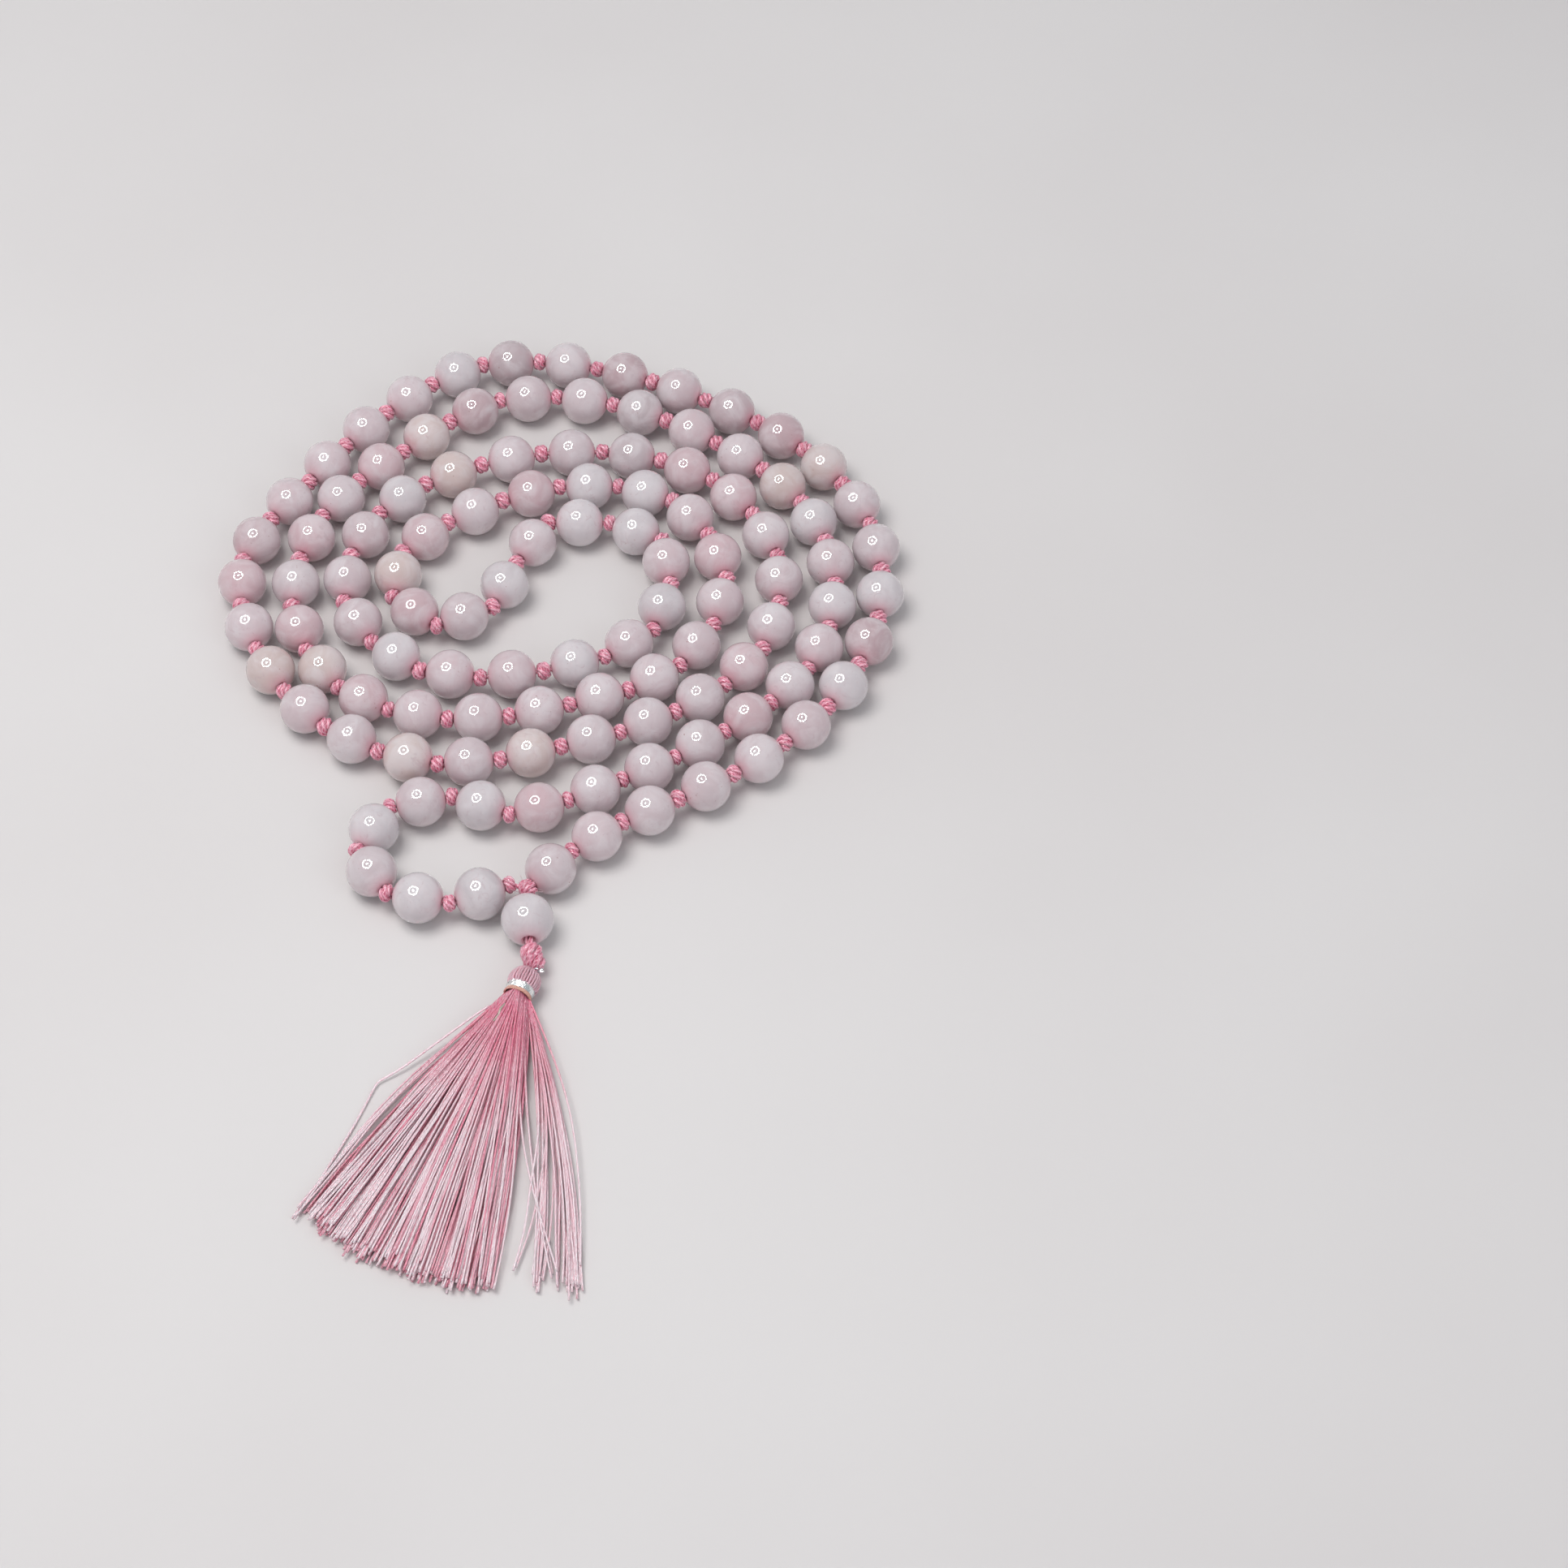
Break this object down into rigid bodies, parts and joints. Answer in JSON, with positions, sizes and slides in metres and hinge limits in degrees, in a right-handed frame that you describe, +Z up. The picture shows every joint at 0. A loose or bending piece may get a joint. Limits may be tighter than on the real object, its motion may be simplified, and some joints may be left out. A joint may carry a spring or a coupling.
{
  "type": "mala prayer beads",
  "caption": "String of round pink stone beads on a hand-knotted silk cord, laid flat in a folded double coil, with a guru bead, a metal-banded head and a fanned thread tassel.",
  "frame": {"origin": "centre of the whole lay on the table top", "axes": "+Z up from the table, +Y from the tassel towards the far side of the coil"},
  "size_m": [0.1136, 0.1848, 0.0082],
  "materials": {
    "rose_quartz": "polished, milky and cloudy, faint pink with grey and peach beads among them",
    "silk_cord": "twisted silk with a soft shine",
    "tassel_thread": "loose shiny rayon threads, paler at the tips",
    "coral_thread": "wound binding thread",
    "silver_foil": "wrinkled metallic ribbon and tinsel"
  },
  "bodies": {
    "root": {"beads_011_014": "rose_quartz", "beads_015_018": "rose_quartz", "beads_019_022": "rose_quartz", "beads_023_026": "rose_quartz", "beads_027_030": "rose_quartz", "beads_031_034": "rose_quartz", "beads_035_038": "rose_quartz", "beads_039_042": "rose_quartz", "beads_043_046": "rose_quartz", "beads_047_050": "rose_quartz", "beads_051_054": "rose_quartz", "beads_055_058": "rose_quartz", "beads_059_062": "rose_quartz", "beads_063_066": "rose_quartz", "beads_067_070": "rose_quartz", "beads_071_074": "rose_quartz", "beads_075_078": "rose_quartz", "beads_079_082": "rose_quartz", "beads_083_086": "rose_quartz", "beads_087_090": "rose_quartz", "beads_091_094": "rose_quartz", "beads_095_098": "rose_quartz", "coil_cord": "silk_cord", "coil_knots": "silk_cord"},
    "lobe": {"lobe_cord": "silk_cord", "lobe_knots": "silk_cord", "join_knot": "silk_cord", "guru_cord": "silk_cord", "guru_knot": "silk_cord"},
    "guru": {"guru_bead": "rose_quartz"},
    "hanger": {"tassel_cord": "silk_cord", "silver_tie": "silver_foil"},
    "tassel": {"tassel_core": "tassel_thread", "tassel_head": "tassel_thread", "tassel_band": "silver_foil", "tassel_rim": "coral_thread", "tassel_skirt": "tassel_thread", "tassel_side_bunch": "tassel_thread", "stray_thread": "tassel_thread"},
    "bead_001": {"bead_001": "rose_quartz"},
    "bead_002": {"bead_002": "rose_quartz"},
    "bead_003": {"bead_003": "rose_quartz"},
    "bead_004": {"bead_004": "rose_quartz"},
    "bead_005": {"bead_005": "rose_quartz"},
    "bead_006": {"bead_006": "rose_quartz"},
    "bead_007": {"bead_007": "rose_quartz"},
    "bead_008": {"bead_008": "rose_quartz"},
    "bead_009": {"bead_009": "rose_quartz"},
    "bead_010": {"bead_010": "rose_quartz"},
    "bead_099": {"bead_099": "rose_quartz"},
    "bead_100": {"bead_100": "rose_quartz"},
    "bead_101": {"bead_101": "rose_quartz"},
    "bead_102": {"bead_102": "rose_quartz"},
    "bead_103": {"bead_103": "rose_quartz"},
    "bead_104": {"bead_104": "rose_quartz"},
    "bead_105": {"bead_105": "rose_quartz"},
    "bead_106": {"bead_106": "rose_quartz"},
    "bead_107": {"bead_107": "rose_quartz"},
    "bead_108": {"bead_108": "rose_quartz"}
  },
  "joints": [
    {"name": "lobe_fold", "type": "hinge", "parent": "root", "child": "lobe", "pos_m": [0.0072, -0.00937, 0.004], "axis": [-0.8959, 0.4442, 0], "range_deg": [0, 60]},
    {"name": "tassel_swing", "type": "hinge", "parent": "lobe", "child": "hanger", "pos_m": [-0.0011, -0.037, 0.0028], "axis": [0, 0, 1], "range_deg": [-45, 60]},
    {"name": "tassel_lift", "type": "hinge", "parent": "hanger", "child": "tassel", "pos_m": [-0.0011, -0.037, 0.0028], "axis": [-0.9397, 0.342, 0], "range_deg": [0, 75]},
    {"name": "guru_spin", "type": "hinge", "parent": "lobe", "child": "guru", "pos_m": [-0.0024, -0.0301, 0.0041], "axis": [0.1045, -0.9945, 0], "continuous": true},
    {"name": "turn_bead_001", "type": "hinge", "parent": "lobe", "child": "bead_001", "pos_m": [0.00075, -0.0205, 0.004], "axis": [0.6805, 0.7328, 0], "continuous": true},
    {"name": "turn_bead_002", "type": "hinge", "parent": "lobe", "child": "bead_002", "pos_m": [0.00775, -0.01425, 0.004], "axis": [0.8064, 0.5914, 0], "continuous": true},
    {"name": "turn_bead_003", "type": "hinge", "parent": "root", "child": "bead_003", "pos_m": [0.0159, -0.00922, 0.004], "axis": [0.8878, 0.4602, 0], "continuous": true},
    {"name": "turn_bead_004", "type": "hinge", "parent": "root", "child": "bead_004", "pos_m": [0.02465, -0.00447, 0.004], "axis": [0.8696, 0.4937, 0], "continuous": true},
    {"name": "turn_bead_005", "type": "hinge", "parent": "root", "child": "bead_005", "pos_m": [0.03303, 0.00109, 0.004], "axis": [0.7933, 0.6088, 0], "continuous": true},
    {"name": "turn_bead_006", "type": "hinge", "parent": "root", "child": "bead_006", "pos_m": [0.04053, 0.00784, 0.004], "axis": [0.6883, 0.7255, 0], "continuous": true},
    {"name": "turn_bead_007", "type": "hinge", "parent": "root", "child": "bead_007", "pos_m": [0.04662, 0.01591, 0.004], "axis": [0.5118, 0.8591, 0], "continuous": true},
    {"name": "turn_bead_008", "type": "hinge", "parent": "root", "child": "bead_008", "pos_m": [0.05087, 0.02516, 0.004], "axis": [0.3181, 0.9481, 0], "continuous": true},
    {"name": "turn_bead_009", "type": "hinge", "parent": "root", "child": "bead_009", "pos_m": [0.05286, 0.03517, 0.004], "axis": [0.0693, 0.9976, 0], "continuous": true},
    {"name": "turn_bead_010", "type": "hinge", "parent": "root", "child": "bead_010", "pos_m": [0.05236, 0.04542, 0.004], "axis": [-0.1669, 0.986, 0], "continuous": true},
    {"name": "turn_bead_099", "type": "hinge", "parent": "root", "child": "bead_099", "pos_m": [0.02363, 0.00394, 0.004], "axis": [-0.8341, -0.5516, 0], "continuous": true},
    {"name": "turn_bead_100", "type": "hinge", "parent": "root", "child": "bead_100", "pos_m": [0.01562, -0.00081, 0.004], "axis": [-0.8835, -0.4685, 0], "continuous": true},
    {"name": "turn_bead_101", "type": "hinge", "parent": "root", "child": "bead_101", "pos_m": [0.0072, -0.00512, 0.004], "axis": [-0.8968, -0.4424, 0], "continuous": true},
    {"name": "turn_bead_102", "type": "hinge", "parent": "lobe", "child": "bead_102", "pos_m": [-0.00155, -0.00862, 0.004], "axis": [-0.9552, -0.296, 0], "continuous": true},
    {"name": "turn_bead_103", "type": "hinge", "parent": "lobe", "child": "bead_103", "pos_m": [-0.01075, -0.00825, 0.004], "axis": [-0.9383, 0.3457, 0], "continuous": true},
    {"name": "turn_bead_104", "type": "hinge", "parent": "lobe", "child": "bead_104", "pos_m": [-0.02025, -0.0075, 0.004], "axis": [-0.9785, -0.206, 0], "continuous": true},
    {"name": "turn_bead_105", "type": "hinge", "parent": "lobe", "child": "bead_105", "pos_m": [-0.02725, -0.01275, 0.004], "axis": [-0.4679, -0.8838, 0], "continuous": true},
    {"name": "turn_bead_106", "type": "hinge", "parent": "lobe", "child": "bead_106", "pos_m": [-0.027, -0.021, 0.004], "axis": [0.53, -0.848, 0], "continuous": true},
    {"name": "turn_bead_107", "type": "hinge", "parent": "lobe", "child": "bead_107", "pos_m": [-0.0195, -0.026, 0.004], "axis": [0.9806, -0.1961, 0], "continuous": true},
    {"name": "turn_bead_108", "type": "hinge", "parent": "lobe", "child": "bead_108", "pos_m": [-0.01, -0.02525, 0.004], "axis": [0.932, 0.3624, 0], "continuous": true}
  ]
}
